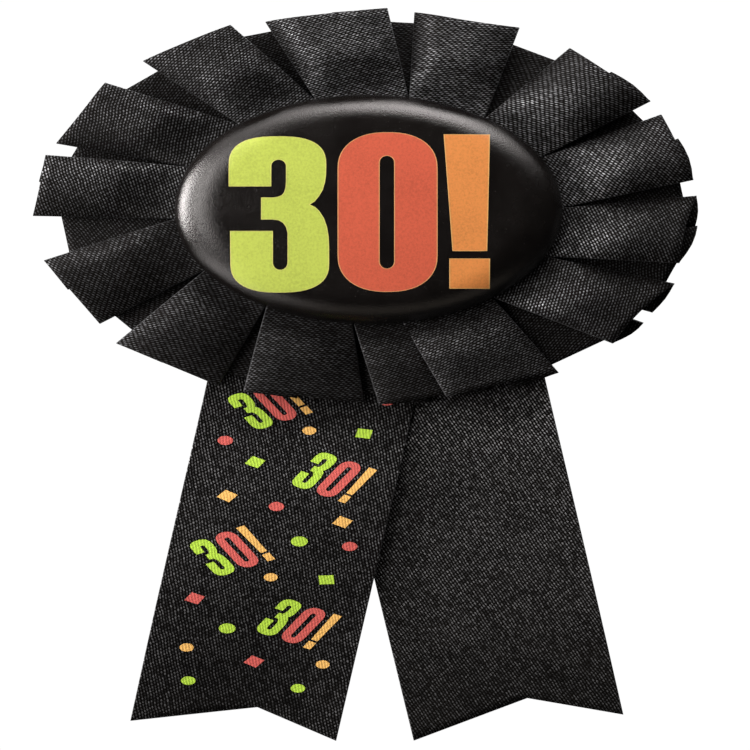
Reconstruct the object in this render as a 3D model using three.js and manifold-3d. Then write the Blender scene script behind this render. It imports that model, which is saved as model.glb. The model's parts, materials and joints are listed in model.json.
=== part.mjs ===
// Award ribbon: a pleated oval rosette with a domed pin-back style button, two hanging tails and a
// bar pin behind. Millimetres. The badge is built face on, in a frame with x to the right, y up and
// z towards the viewer, from the middle of the rosette on the rear face of the backing card. One
// turned group stands it up, front to -Y and top to +Z, with the origin at the height of the pin.
import * as THREE from "three";
import { mergeVertices } from "three/addons/utils/BufferGeometryUtils.js";
import Module from "manifold-3d";

const wasm = await Module();
wasm.setup();

// ---------------------------------------------------------------- driving dimensions
const OVAL = 1.69; // width over height of the button, the rosette and the cards
const ROSETTE_RADIUS = 44.6; // half height, to the corners of the front panels
const BUTTON_RADIUS = 25.75; // half height of the button
const CORE_RADIUS = 21.6; // half height of the card that everything is fixed to
const BACKING_RADIUS = 27; // half height of the rear card
const PLEAT_CENTRES = [353, 17, 46, 71, 96, 123, 155, 168, 192, 218, 246, 277, 300, 327]; // clockwise
const TAIL_WIDTH = 48;
const HINGE_Y = -46.2; // where the tails start to hang freely, just below the pleats
const HINGE_GAP = 0.5; // between a tail's fixed top and its hanging part
const TAILS = {
  printed: { lean: -13, x: -14.1, z: 2.55, notchX: 4, outerSide: -1 },
  plain: { lean: 14, x: 16.7, z: 1.9, notchX: 3, outerSide: 1 },
};
const TAIL_THICK = 0.35;
const TAIL_OUTER = 76; // tip lengths below the hinge line, along the ribbon
const TAIL_INNER = 70.2;
const TAIL_NOTCH = 67;
const TAIL_ABOVE = 43; // length above the hinge line

// Depths, from the rear face to the front
const BACKING_THICK = 1;
const CLINCH_Z = 1.25; // bent ends of the staples
const CORE_Z = 3.2;
const CORE_THICK = 1;
const ROSETTE_Z = 4.5;
const RECESS_THICK = 0.9;
const PLEAT_FLAT_Z = 6.5; // front of the pleats where the button presses on them
const PLEAT_CROWN_Z = 10.2; // top of a front panel's arch
const BUTTON_Z = 7.6;
const BUTTON_HEIGHT = 6.3;

// Bar pin
const PIN_Y = 11;
const BAR_LENGTH = 38;
const BAR_WIDTH = 5.5;
const BAR_Z = 1.2;
const BAR_THICK = 0.8;
const NEEDLE_Z = -2.2;
const NEEDLE_RADIUS = 0.45;
const HINGE_X = 17;
const CATCH_X = -14.6;

const SEGMENTS = 44; // around an oval
const HOLE_SIDES = 12; // around a small hole
const radians = THREE.MathUtils.degToRad;

const COLOURS = {
  fabric: { color: 0x17171a, roughness: 0.75, metalness: 0 },
  printedFabric: { color: 0x1b1b1d, roughness: 0.8, metalness: 0 },
  film: { color: 0x0f0d0c, roughness: 0.35, metalness: 0 },
  paper: { color: 0x121010, roughness: 0.7, metalness: 0 },
  tinplate: { color: 0xb9bbbd, roughness: 0.35, metalness: 1 },
  card: { color: 0x26262a, roughness: 0.9, metalness: 0 },
  foam: { color: 0xe9e6dc, roughness: 0.95, metalness: 0 },
  steel: { color: 0xc4c6c8, roughness: 0.25, metalness: 1 },
  thread: { color: 0x101012, roughness: 0.9, metalness: 0 },
};
const materials = {};
for (const [name, look] of Object.entries(COLOURS)) materials[name] = new THREE.MeshStandardMaterial(look);

const badge = new THREE.Group();
badge.rotation.x = Math.PI / 2;
badge.position.z = -PIN_Y;

function add(name, geometry, material) {
  const mesh = new THREE.Mesh(geometry, materials[material]);
  mesh.name = name;
  badge.add(mesh);
  return mesh;
}

// ---------------------------------------------------------------- solids and booleans
function solid(geometry) {
  const bare = geometry.clone();
  bare.deleteAttribute("normal");
  bare.deleteAttribute("uv");
  const merged = mergeVertices(bare, 1e-4);
  return new wasm.Manifold(
    new wasm.Mesh({
      numProp: 3,
      vertProperties: new Float32Array(merged.attributes.position.array),
      triVerts: new Uint32Array(merged.index.array),
    }),
  );
}

function geometryOf(manifold) {
  const { vertProperties, triVerts } = manifold.getMesh();
  const geometry = new THREE.BufferGeometry();
  geometry.setAttribute("position", new THREE.BufferAttribute(vertProperties, 3));
  geometry.setIndex(new THREE.BufferAttribute(triVerts, 1));
  return geometry;
}

function joined(geometries) {
  return geometries.map(solid).reduce((whole, next) => whole.add(next));
}

function block(width, height, depth, x, y, z) {
  return new THREE.BoxGeometry(width, height, depth).translate(x, y, z);
}

// A flat shape from one depth to another.
function slab(shape, z, thickness) {
  return new THREE.ExtrudeGeometry(shape, { depth: thickness, bevelEnabled: false, curveSegments: SEGMENTS / 2 })
    .translate(0, 0, z);
}

function ovalShape(radius) {
  return new THREE.Shape().absellipse(0, 0, radius * OVAL, radius, 0, 2 * Math.PI);
}

function roundHole(x, y, radius) {
  const corners = [];
  for (let i = 0; i < HOLE_SIDES; i++) {
    const angle = (i / HOLE_SIDES) * 2 * Math.PI;
    corners.push(new THREE.Vector2(x + radius * Math.cos(angle), y + radius * Math.sin(angle)));
  }
  return new THREE.Path(corners);
}

function slotHole(x, y, width, height) {
  const hole = new THREE.Path();
  hole.moveTo(x - width / 2, y - height / 2);
  hole.lineTo(x + width / 2, y - height / 2);
  hole.lineTo(x + width / 2, y + height / 2);
  hole.lineTo(x - width / 2, y + height / 2);
  hole.closePath();
  return hole;
}

// A profile of [radius, depth] pairs turned about the badge's axis, then widened to the oval.
function ovalLathe(profile) {
  const points = profile.map(([radius, z]) => new THREE.Vector2(radius, z));
  return new THREE.LatheGeometry(points, SEGMENTS).rotateX(Math.PI / 2).scale(OVAL, 1, 1);
}

// ---------------------------------------------------------------- button
const DOME_STEPS = 8;

// The outside of the dome, set in by some distance: nearly flat in the middle, round at the rim.
function domeLine(inset) {
  const radius = BUTTON_RADIUS - inset;
  const height = BUTTON_HEIGHT - inset;
  const line = [];
  for (let i = 0; i <= DOME_STEPS; i++) {
    const share = Math.sin((i / DOME_STEPS) * (Math.PI / 2));
    line.push([radius * share, BUTTON_Z + height * Math.sqrt(Math.max(0, 1 - share ** 3))]);
  }
  return line;
}

function domeSkin(inset, thickness) {
  return ovalLathe([...domeLine(inset + thickness), ...domeLine(inset).reverse()]);
}

const FILM = { inset: 0, thickness: 0.2 };
const ARTWORK = { inset: 0.4, thickness: 0.2 };
const SHELL = { inset: 0.8, thickness: 0.4 };

function makeButton() {
  add("button_film", domeSkin(FILM.inset, FILM.thickness), "film");
  add("button_artwork", domeSkin(ARTWORK.inset, ARTWORK.thickness), "paper");
  add("button_shell", domeSkin(SHELL.inset, SHELL.thickness), "tinplate");
  const edge = BUTTON_RADIUS - SHELL.inset - SHELL.thickness - 0.4;
  const plate = 0.4;
  const dish = BUTTON_Z + 2.2;
  add(
    "button_back",
    ovalLathe([
      [0, dish],
      [17, dish],
      [19.5, BUTTON_Z],
      [edge, BUTTON_Z],
      [edge, BUTTON_Z + plate],
      [19.8, BUTTON_Z + plate],
      [17.3, dish + plate],
      [0, dish + plate],
    ]),
    "tinplate",
  );
  const padZ = CORE_Z + CORE_THICK + 1.05;
  add("button_glue_pad", slab(ovalShape(15.5), padZ, dish - 0.3 - padZ), "foam");
}

// ---------------------------------------------------------------- rosette
const PLEAT_INNER = 22.3; // the pleats' inner ends, under the button
const PANEL_HALF_INNER = 5.95; // half width of a front panel at the button's edge
const PANEL_HALF_OUTER = 7.63; // and at the rosette's edge
const RECESS_RADIUS = 41.5; // the ribbon between two panels ends lower
const PANEL_END = Math.sqrt(ROSETTE_RADIUS ** 2 - PANEL_HALF_OUTER ** 2);
const RADIAL_STEPS = 5;

function panelHalfWidth(out) {
  const share = (out - BUTTON_RADIUS) / (PANEL_END - BUTTON_RADIUS);
  return PANEL_HALF_INNER + (PANEL_HALF_OUTER - PANEL_HALF_INNER) * share;
}

// Depth of a front panel's arch at a distance from the middle: flat under the button, then full.
function crownDepth(out) {
  const share = THREE.MathUtils.smoothstep(out, BUTTON_RADIUS + 0.6, BUTTON_RADIUS + 8);
  return PLEAT_FLAT_Z + (PLEAT_CROWN_Z - PLEAT_FLAT_Z) * share;
}

// One box pleat as a closed wedge: its folded sides, and the front panel arched between them.
function pleat(degrees) {
  const side = 0.45; // share of the height where the arch starts
  const section = new THREE.Shape();
  section.moveTo(-1, 0);
  section.lineTo(1, 0);
  section.lineTo(1, side);
  section.absellipse(0, side, 1, 1 - side, 0, Math.PI, false);
  section.closePath();
  const wedge = new THREE.ExtrudeGeometry(section, {
    depth: 1,
    steps: RADIAL_STEPS,
    bevelEnabled: false,
    curveSegments: 5,
  });
  const at = wedge.attributes.position;
  for (let i = 0; i < at.count; i++) {
    const out = PLEAT_INNER + (PANEL_END - PLEAT_INNER) * at.getZ(i);
    const across = panelHalfWidth(out) * at.getX(i);
    const depth = ROSETTE_Z + (crownDepth(out) - ROSETTE_Z) * at.getY(i);
    at.setXYZ(i, -across, out, depth);
  }
  return wedge.rotateZ(-radians(degrees)).scale(OVAL, 1, 1);
}

function makeRosette() {
  const ring = ovalShape(RECESS_RADIUS);
  ring.holes.push(new THREE.Path().absellipse(0, 0, PLEAT_INNER * OVAL, PLEAT_INNER, 0, 2 * Math.PI));
  const folded = joined([slab(ring, ROSETTE_Z, RECESS_THICK), ...PLEAT_CENTRES.map(pleat)]);
  add("rosette_ribbon", geometryOf(folded), "fabric");

  const threadRadius = 0.25;
  const loop = new THREE.TorusGeometry(PLEAT_INNER + 1.2, threadRadius, 5, SEGMENTS).scale(OVAL, 1, 1);
  add("gathering_thread", loop.translate(0, 0, PLEAT_FLAT_Z + 0.3 + threadRadius), "thread");
}

// ---------------------------------------------------------------- cards and staples
const STAPLES = [
  { name: "left_staple", x: -7.5, y: -13.5 },
  { name: "right_staple", x: 8.5, y: -13.5 },
];
const STAPLE_HALF = 4.5; // half the distance between the legs
const STAPLE_WIRE = 0.5;
const LEG_HOLE = 0.55; // radius of the holes that the legs pass through

function legHoles() {
  return STAPLES.flatMap(({ x, y }) => [-1, 1].map((side) => roundHole(x + side * STAPLE_HALF, y, LEG_HOLE)));
}

// A closed staple: crown in front of the core card, legs through it and the tails, ends bent in.
function staple({ name, x, y }) {
  const crownZ = CORE_Z + CORE_THICK + 0.25;
  const legEnd = CLINCH_Z;
  const bent = 3.2;
  const crown = block(2 * STAPLE_HALF + STAPLE_WIRE, STAPLE_WIRE, STAPLE_WIRE, x, y, crownZ + STAPLE_WIRE / 2);
  const parts = [crown];
  for (const side of [-1, 1]) {
    const legX = x + side * STAPLE_HALF;
    const height = crownZ + 0.1 - legEnd;
    parts.push(block(STAPLE_WIRE, STAPLE_WIRE, height, legX, y, legEnd + height / 2));
    const endX = legX - (side * (bent - STAPLE_WIRE)) / 2;
    parts.push(block(bent, STAPLE_WIRE, 0.4, endX, y, legEnd + 0.2));
  }
  add(name, geometryOf(joined(parts)), "steel");
}

function makeCards() {
  const core = ovalShape(CORE_RADIUS);
  core.holes.push(...legHoles());
  add("core_card", slab(core, CORE_Z, CORE_THICK), "card");

  const backing = ovalShape(BACKING_RADIUS);
  backing.holes.push(slotHole(0, PIN_Y, BAR_LENGTH + 4, BAR_WIDTH + 3.5));
  add("backing_card", slab(backing, 0, BACKING_THICK), "card");
  STAPLES.forEach(staple);
}

// ---------------------------------------------------------------- tails
// The ribbon's own axes: down its length, and across it to the right.
function tailAxes({ lean, x }) {
  const angle = radians(lean);
  const down = new THREE.Vector2(Math.sin(angle), -Math.cos(angle));
  const across = new THREE.Vector2(Math.cos(angle), Math.sin(angle));
  return (along, sideways) =>
    new THREE.Vector2(x, HINGE_Y).addScaledVector(down, along).addScaledVector(across, sideways);
}

// The points where the ribbon's two long edges meet a level line.
function edgesAtLevel(tail, y) {
  const slope = Math.tan(radians(tail.lean));
  const half = TAIL_WIDTH / 2 / Math.cos(radians(tail.lean));
  const centre = tail.x + (HINGE_Y - y) * slope;
  return [new THREE.Vector2(centre - half, y), new THREE.Vector2(centre + half, y)];
}

function makeTail(kind, material) {
  const tail = TAILS[kind];
  const point = tailAxes(tail);
  const half = TAIL_WIDTH / 2;

  const [upLeft, upRight] = edgesAtLevel(tail, HINGE_Y + HINGE_GAP / 2);
  const fixed = new THREE.Shape([upLeft, upRight, point(-TAIL_ABOVE, half), point(-TAIL_ABOVE, -half)]);
  fixed.holes.push(...legHoles());
  add(`${kind}_tail_top`, slab(fixed, tail.z, TAIL_THICK), material);

  const [left, right] = edgesAtLevel(tail, HINGE_Y - HINGE_GAP / 2);
  const tips = tail.outerSide < 0 ? [TAIL_OUTER, TAIL_INNER] : [TAIL_INNER, TAIL_OUTER];
  const hanging = new THREE.Shape([
    left,
    point(tips[0], -half),
    point(TAIL_NOTCH, tail.notchX),
    point(tips[1], half),
    right,
  ]);
  add(`${kind}_tail`, slab(hanging, tail.z, TAIL_THICK), material);
}

// ---------------------------------------------------------------- bar pin
const EAR_GAP = 2.8; // between the hinge's two ears
const EAR_THICK = 0.7;
const RIVET_RADIUS = 0.5;
const BARREL_RADIUS = 1.3;
const BARREL_BORE = 0.75;
const BARREL_LENGTH = 3.2;
const SLOT_WIDTH = 1.3; // lets the needle out of the barrel to the rear

// A disc or rod across the badge (along y) or along the bar (along x).
function rodAlongY(radius, length, x, z, sides = 16) {
  return new THREE.CylinderGeometry(radius, radius, length, sides).translate(x, PIN_Y, z);
}

function rodAlongX(radius, length, x, z, sides = 12) {
  return new THREE.CylinderGeometry(radius, radius, length, sides).rotateZ(Math.PI / 2).translate(x, PIN_Y, z);
}

function barPlate() {
  const end = BAR_WIDTH / 2;
  const straight = BAR_LENGTH / 2 - end;
  const shape = new THREE.Shape();
  shape.absarc(straight, PIN_Y, end, -Math.PI / 2, Math.PI / 2, false);
  shape.absarc(-straight, PIN_Y, end, Math.PI / 2, (3 * Math.PI) / 2, false);
  shape.closePath();
  shape.holes.push(roundHole(-5, PIN_Y, 0.9), roundHole(5, PIN_Y, 0.9));
  return new THREE.ExtrudeGeometry(shape, { depth: BAR_THICK, bevelEnabled: false, curveSegments: 10 })
    .translate(0, 0, BAR_Z);
}

// One ear of the hinge: upright on the plate, round around the rivet, with a hole for it.
function hingeEar(side) {
  const round = 1.5;
  const ear = new THREE.Shape();
  ear.moveTo(HINGE_X + round, BAR_Z + 0.2);
  ear.lineTo(HINGE_X + round, NEEDLE_Z);
  ear.absarc(HINGE_X, NEEDLE_Z, round, 0, -Math.PI, true);
  ear.lineTo(HINGE_X - round, BAR_Z + 0.2);
  ear.closePath();
  ear.holes.push(roundHole(HINGE_X, NEEDLE_Z, RIVET_RADIUS + 0.15));
  // The ear is drawn in x and z, so it is extruded along z and laid over onto y.
  const centre = PIN_Y + side * (EAR_GAP / 2 + EAR_THICK / 2);
  return new THREE.ExtrudeGeometry(ear, { depth: EAR_THICK, bevelEnabled: false, curveSegments: 10 })
    .rotateX(Math.PI / 2)
    .translate(0, centre + EAR_THICK / 2, 0);
}

function makeBar() {
  const postX = CATCH_X - BARREL_LENGTH / 2 - 0.5;
  const post = block(1, 2 * BARREL_RADIUS, BAR_Z - NEEDLE_Z + 1.5, postX, PIN_Y, (BAR_Z + 0.2 + NEEDLE_Z - 1.3) / 2);
  const barrel = rodAlongX(BARREL_RADIUS, BARREL_LENGTH + 0.4, CATCH_X - 0.2, NEEDLE_Z, 16);
  const body = joined([barPlate(), hingeEar(-1), hingeEar(1), post, barrel]);
  const boreEnd = BARREL_LENGTH + 1;
  const bore = solid(rodAlongX(BARREL_BORE, boreEnd, CATCH_X + 0.5, NEEDLE_Z));
  const slot = solid(block(boreEnd, SLOT_WIDTH, 3, CATCH_X + 0.5, PIN_Y, NEEDLE_Z - 1.5));
  add("pin_bar", geometryOf(body.subtract(bore).subtract(slot)), "steel");
}

function makeRivet() {
  const length = EAR_GAP + 2 * EAR_THICK + 0.4;
  const head = 0.5;
  const parts = [rodAlongY(RIVET_RADIUS, length + 0.2, HINGE_X, NEEDLE_Z)];
  for (const side of [-1, 1]) {
    parts.push(rodAlongY(1, head, HINGE_X, NEEDLE_Z).translate(0, side * (length / 2 + head / 2), 0));
  }
  add("hinge_rivet", geometryOf(joined(parts)), "steel");
}

// The needle: an eye round the rivet, a straight wire, and a ground point in the catch.
function makeNeedle() {
  const eye = solid(rodAlongY(1.25, EAR_GAP - 0.6, HINGE_X, NEEDLE_Z, 20));
  const hole = solid(rodAlongY(RIVET_RADIUS + 0.15, EAR_GAP, HINGE_X, NEEDLE_Z, 16));
  const tipX = CATCH_X - 0.9;
  const taper = 5;
  const wireEnd = tipX + taper;
  const wireStart = HINGE_X - 0.9;
  const wire = solid(rodAlongX(NEEDLE_RADIUS, wireStart - wireEnd, (wireStart + wireEnd) / 2, NEEDLE_Z));
  const point = new THREE.CylinderGeometry(0.08, NEEDLE_RADIUS, taper, 12)
    .rotateZ(Math.PI / 2)
    .translate(wireEnd - taper / 2, PIN_Y, NEEDLE_Z);
  add("pin_needle", geometryOf(eye.add(wire).add(solid(point)).subtract(hole)), "steel");
}

// The lock: a slotted sleeve with a finger tab, which turns on the barrel and closes its slot.
function makeCatchSleeve() {
  const inner = BARREL_RADIUS + 0.2;
  const outer = 2.1;
  const half = 0.5; // radians either side of the opening
  const ring = new THREE.Shape();
  ring.absarc(0, 0, outer, half, 2 * Math.PI - half, false);
  ring.absarc(0, 0, inner, 2 * Math.PI - half, half, true);
  ring.closePath();
  const length = BARREL_LENGTH - 0.8;
  const sleeve = new THREE.ExtrudeGeometry(ring, { depth: length, bevelEnabled: false, curveSegments: 10 })
    .rotateY(Math.PI / 2)
    .translate(CATCH_X - length / 2, PIN_Y, NEEDLE_Z);
  const tab = block(1.2, 1.7, 0.8, CATCH_X, PIN_Y - outer - 0.6, NEEDLE_Z);
  add("catch_sleeve", geometryOf(joined([sleeve, tab])), "steel");
}

function makePin() {
  makeBar();
  makeRivet();
  makeNeedle();
  makeCatchSleeve();
  const padZ = BAR_Z + BAR_THICK + 0.3;
  const pad = new THREE.Shape([
    new THREE.Vector2(-16, PIN_Y - 2.5),
    new THREE.Vector2(16, PIN_Y - 2.5),
    new THREE.Vector2(16, PIN_Y + 2.5),
    new THREE.Vector2(-16, PIN_Y + 2.5),
  ]);
  add("pin_glue_pad", slab(pad, padZ, CORE_Z - 0.3 - padZ), "foam");
}

makeButton();
makeRosette();
makeCards();
makeTail("printed", "printedFabric");
makeTail("plain", "fabric");
makePin();

const part = new THREE.Group();
part.add(badge);
export default part;
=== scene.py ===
"""Award ribbon: pleated oval rosette, domed age button, two swallow-tailed ribbons and a bar pin.

Lengths in the code are in millimetres on the badge's face, as if it were round: x to the right and y
up from the button's centre, depth towards the viewer from the rear card. place() widens them to the
oval and puts them in the row frame, in metres.
"""
import json
import math
from functools import partial
from typing import NamedTuple

import bpy
import numpy as np
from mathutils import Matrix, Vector
from mathutils.geometry import tessellate_polygon


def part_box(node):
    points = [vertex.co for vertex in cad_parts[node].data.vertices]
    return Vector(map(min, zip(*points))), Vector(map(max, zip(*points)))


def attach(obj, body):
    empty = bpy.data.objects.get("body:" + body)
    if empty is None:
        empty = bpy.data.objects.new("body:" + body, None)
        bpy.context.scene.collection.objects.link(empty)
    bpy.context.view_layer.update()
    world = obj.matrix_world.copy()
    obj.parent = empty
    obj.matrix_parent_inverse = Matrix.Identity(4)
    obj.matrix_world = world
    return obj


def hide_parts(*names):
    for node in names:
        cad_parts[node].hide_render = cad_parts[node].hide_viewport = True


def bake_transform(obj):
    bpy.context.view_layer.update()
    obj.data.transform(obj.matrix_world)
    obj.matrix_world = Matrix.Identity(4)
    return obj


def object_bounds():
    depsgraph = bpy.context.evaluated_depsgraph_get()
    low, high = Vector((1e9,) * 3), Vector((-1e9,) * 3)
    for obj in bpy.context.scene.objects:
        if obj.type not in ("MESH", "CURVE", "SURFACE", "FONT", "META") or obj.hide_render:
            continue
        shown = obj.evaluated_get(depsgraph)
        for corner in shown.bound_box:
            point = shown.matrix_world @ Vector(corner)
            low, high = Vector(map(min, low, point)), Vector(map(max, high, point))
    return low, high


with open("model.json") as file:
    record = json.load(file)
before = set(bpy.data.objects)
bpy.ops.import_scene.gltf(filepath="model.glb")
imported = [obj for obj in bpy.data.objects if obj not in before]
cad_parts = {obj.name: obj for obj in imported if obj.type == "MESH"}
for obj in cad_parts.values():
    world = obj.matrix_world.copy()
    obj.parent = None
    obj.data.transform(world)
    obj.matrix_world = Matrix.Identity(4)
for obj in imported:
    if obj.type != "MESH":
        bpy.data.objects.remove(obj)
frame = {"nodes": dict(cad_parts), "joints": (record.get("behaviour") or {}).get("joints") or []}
cad_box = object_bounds()
nodes = frame["nodes"]
joints = {joint["name"]: joint for joint in frame["joints"]}
rng = np.random.default_rng(30)

# ---------------------------------------------------------------- the frame's measures
MM = 0.001
film_low, film_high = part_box("button_film")
CENTRE_X = (film_low.x + film_high.x) / 2
CENTRE_Z = (film_low.z + film_high.z) / 2
BUTTON_R = (film_high.z - film_low.z) / 2 / MM
OVAL = (film_high.x - film_low.x) / (film_high.z - film_low.z)
BUTTON_BASE = -film_high.y / MM
BUTTON_TOP = -film_low.y / MM
CORE_FRONT = -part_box("core_card")[0].y / MM


def place(x, y, depth):
    """Points on the badge's face, as arrays, to the row frame in metres."""
    x, y, depth = (np.asarray(a, float) for a in np.broadcast_arrays(x, y, depth))
    return np.stack([CENTRE_X + x * OVAL * MM, -depth * MM, CENTRE_Z + y * MM], axis=-1)


def smooth(value, low, high):
    t = np.clip((np.asarray(value, float) - low) / (high - low), 0, 1)
    return t * t * (3 - 2 * t)


def polar(angle, radius):
    """Degrees clockwise from the top, and a radius."""
    a = math.radians(angle)
    return np.array([radius * math.sin(a), radius * math.cos(a)])


# ---------------------------------------------------------------- meshes
def make_mesh(name, points, faces, material, uvs=None, measures=None, flat=False):
    """measures holds numbers for each point, by name, that the material reads."""
    mesh = bpy.data.meshes.new(name)
    mesh.from_pydata([tuple(p) for p in points], [], [tuple(f) for f in faces])
    mesh.validate()
    mesh.update()
    if uvs is not None:
        layer = mesh.uv_layers.new(name="Weave")
        index = np.zeros(len(mesh.loops), np.int64)
        mesh.loops.foreach_get("vertex_index", index)
        layer.data.foreach_set("uv", np.asarray(uvs, np.float32)[index].ravel())
    for measure, values in (measures or {}).items():
        attribute = mesh.attributes.new(measure, "FLOAT", "POINT")
        attribute.data.foreach_set("value", np.asarray(values, np.float32))
    mesh.polygons.foreach_set("use_smooth", [not flat] * len(mesh.polygons))
    obj = bpy.data.objects.new(name, mesh)
    bpy.context.scene.collection.objects.link(obj)
    mesh.materials.append(material)
    return obj


def grid_faces(rows, columns, closed=False):
    faces = []
    last = columns if closed else columns - 1
    for r in range(rows - 1):
        for c in range(last):
            d = (c + 1) % columns
            faces.append((r * columns + c, r * columns + d, (r + 1) * columns + d, (r + 1) * columns + c))
    return faces


def thicken(obj, thickness, offset=0.0):
    solidify = obj.modifiers.new("Thickness", "SOLIDIFY")
    solidify.thickness = thickness * MM
    solidify.offset = offset
    return obj


# ---------------------------------------------------------------- materials
class Nodes:
    """A short way to write a material's node tree."""

    def __init__(self, name):
        self.material = bpy.data.materials.new(name)
        self.material.use_nodes = True
        self.tree = self.material.node_tree
        self.tree.nodes.clear()
        self.output = self.tree.nodes.new("ShaderNodeOutputMaterial")
        self.shader = self.tree.nodes.new("ShaderNodeBsdfPrincipled")
        self.tree.links.new(self.shader.outputs[0], self.output.inputs["Surface"])

    def feed(self, socket, value):
        if isinstance(value, bpy.types.NodeSocket):
            self.tree.links.new(value, socket)
        else:
            socket.default_value = value

    def node(self, kind, **settings):
        made = self.tree.nodes.new(kind)
        for key, value in settings.items():
            setattr(made, key, value)
        return made

    def math(self, operation, *values, clamp=False):
        made = self.node("ShaderNodeMath", operation=operation, use_clamp=clamp)
        for socket, value in zip(made.inputs, values):
            self.feed(socket, value)
        return made.outputs[0]

    def ramp(self, value, low, high, to_low=0.0, to_high=1.0):
        made = self.node("ShaderNodeMapRange", interpolation_type="SMOOTHSTEP")
        for key, entry in (("Value", value), ("From Min", low), ("From Max", high),
                           ("To Min", to_low), ("To Max", to_high)):
            self.feed(made.inputs[key], entry)
        return made.outputs[0]

    def mix(self, factor, a, b):
        made = self.node("ShaderNodeMix", data_type="RGBA")
        self.feed(made.inputs[0], factor)
        for socket, value in ((made.inputs[6], a), (made.inputs[7], b)):
            self.feed(socket, value if isinstance(value, bpy.types.NodeSocket) else (*value, 1.0))
        return made.outputs[2]

    def vector(self, operation, *values, output="Vector"):
        made = self.node("ShaderNodeVectorMath", operation=operation)
        for socket, value in zip(made.inputs, values):
            self.feed(socket, value)
        return made.outputs[output]

    def scaled(self, vector, factor):
        made = self.node("ShaderNodeVectorMath", operation="SCALE")
        self.feed(made.inputs[0], vector)
        self.feed(made.inputs["Scale"], factor)
        return made.outputs[0]

    def attribute(self, name):
        return self.node("ShaderNodeAttribute", attribute_name=name).outputs["Fac"]

    def point(self):
        """The piece's own coordinates, in metres."""
        return self.node("ShaderNodeTexCoord").outputs["Object"]

    def noise(self, scale, detail=3.0, roughness=0.55, vector=None):
        made = self.node("ShaderNodeTexNoise")
        made.inputs["Scale"].default_value = scale
        made.inputs["Detail"].default_value = detail
        made.inputs["Roughness"].default_value = roughness
        self.tree.links.new(self.point() if vector is None else vector, made.inputs["Vector"])
        return made.outputs["Fac"]

    def bump(self, height, strength, distance, normal=None):
        made = self.node("ShaderNodeBump")
        made.inputs["Strength"].default_value = strength
        made.inputs["Distance"].default_value = distance * MM
        self.tree.links.new(height, made.inputs["Height"])
        if normal is not None:
            self.tree.links.new(normal, made.inputs["Normal"])
        return made.outputs[0]

    def set(self, **values):
        for key, value in values.items():
            self.feed(self.shader.inputs[key.replace("_", " ")], value)
        return self


# Satin's staggered crossings as three sets of ridges, in cycles a millimetre across and along.
ROSETTE_WEAVE = ((1.15, 1.16), (1.85, -1.13), (0.70, -2.29))
TAIL_WEAVE = ((1.22, 1.14), (1.16, -1.72), (2.38, -0.58))
RIDGE_SHARES = (0.25, 0.16, 0.59)
WEAVE_DRIFT = 0.5  # how far, in millimetres, the threads wander from straight


def weave(n, ridges):
    """The ribbon's weave from its own coordinates.

    Gives the height of the threads, from -1 to 1, highest where the three sets of ridges meet; a number
    of its own for each crossing, from 0 to 1; the third set's ridges alone; and the coordinates.
    """
    uv = n.node("ShaderNodeUVMap", uv_map="Weave").outputs[0]
    drift = n.node("ShaderNodeTexNoise")
    drift.inputs["Scale"].default_value = 0.3
    drift.inputs["Detail"].default_value = 2.0
    n.tree.links.new(uv, drift.inputs["Vector"])
    bent = n.vector("MULTIPLY_ADD", drift.outputs["Color"], (WEAVE_DRIFT, WEAVE_DRIFT, 0.0), uv)
    total = 0.0
    counts = []
    for (across, along), share in zip(ridges, RIDGE_SHARES):
        turns = n.vector("DOT_PRODUCT", bent, (across, along, 0.0), output="Value")
        counts.append(n.math("ROUND", turns))
        ridge = n.math("COSINE", n.math("MULTIPLY", turns, 2 * math.pi))
        total = n.math("ADD", n.math("MULTIPLY", ridge, share), total)
    crossing = n.node("ShaderNodeCombineXYZ")
    n.feed(crossing.inputs[0], counts[0])
    n.feed(crossing.inputs[1], counts[2])
    chance = n.node("ShaderNodeTexWhiteNoise", noise_dimensions="2D")
    n.tree.links.new(crossing.outputs[0], chance.inputs["Vector"])
    return total, chance.outputs["Value"], ridge, uv


SLUB_STRETCH = (0.45, 1.3, 0.0)
RECESS_SHADE_SHARE = 0.34  # painted shade: what is left of the threads' brightness deep in the pleats
# how light folds and cut edges are: rubbed wear and a painted glint
FOLD_WEAR_AND_GLINT = 0.45


def scaled_colour(colour, factor):
    return tuple(factor * c for c in colour)


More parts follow.
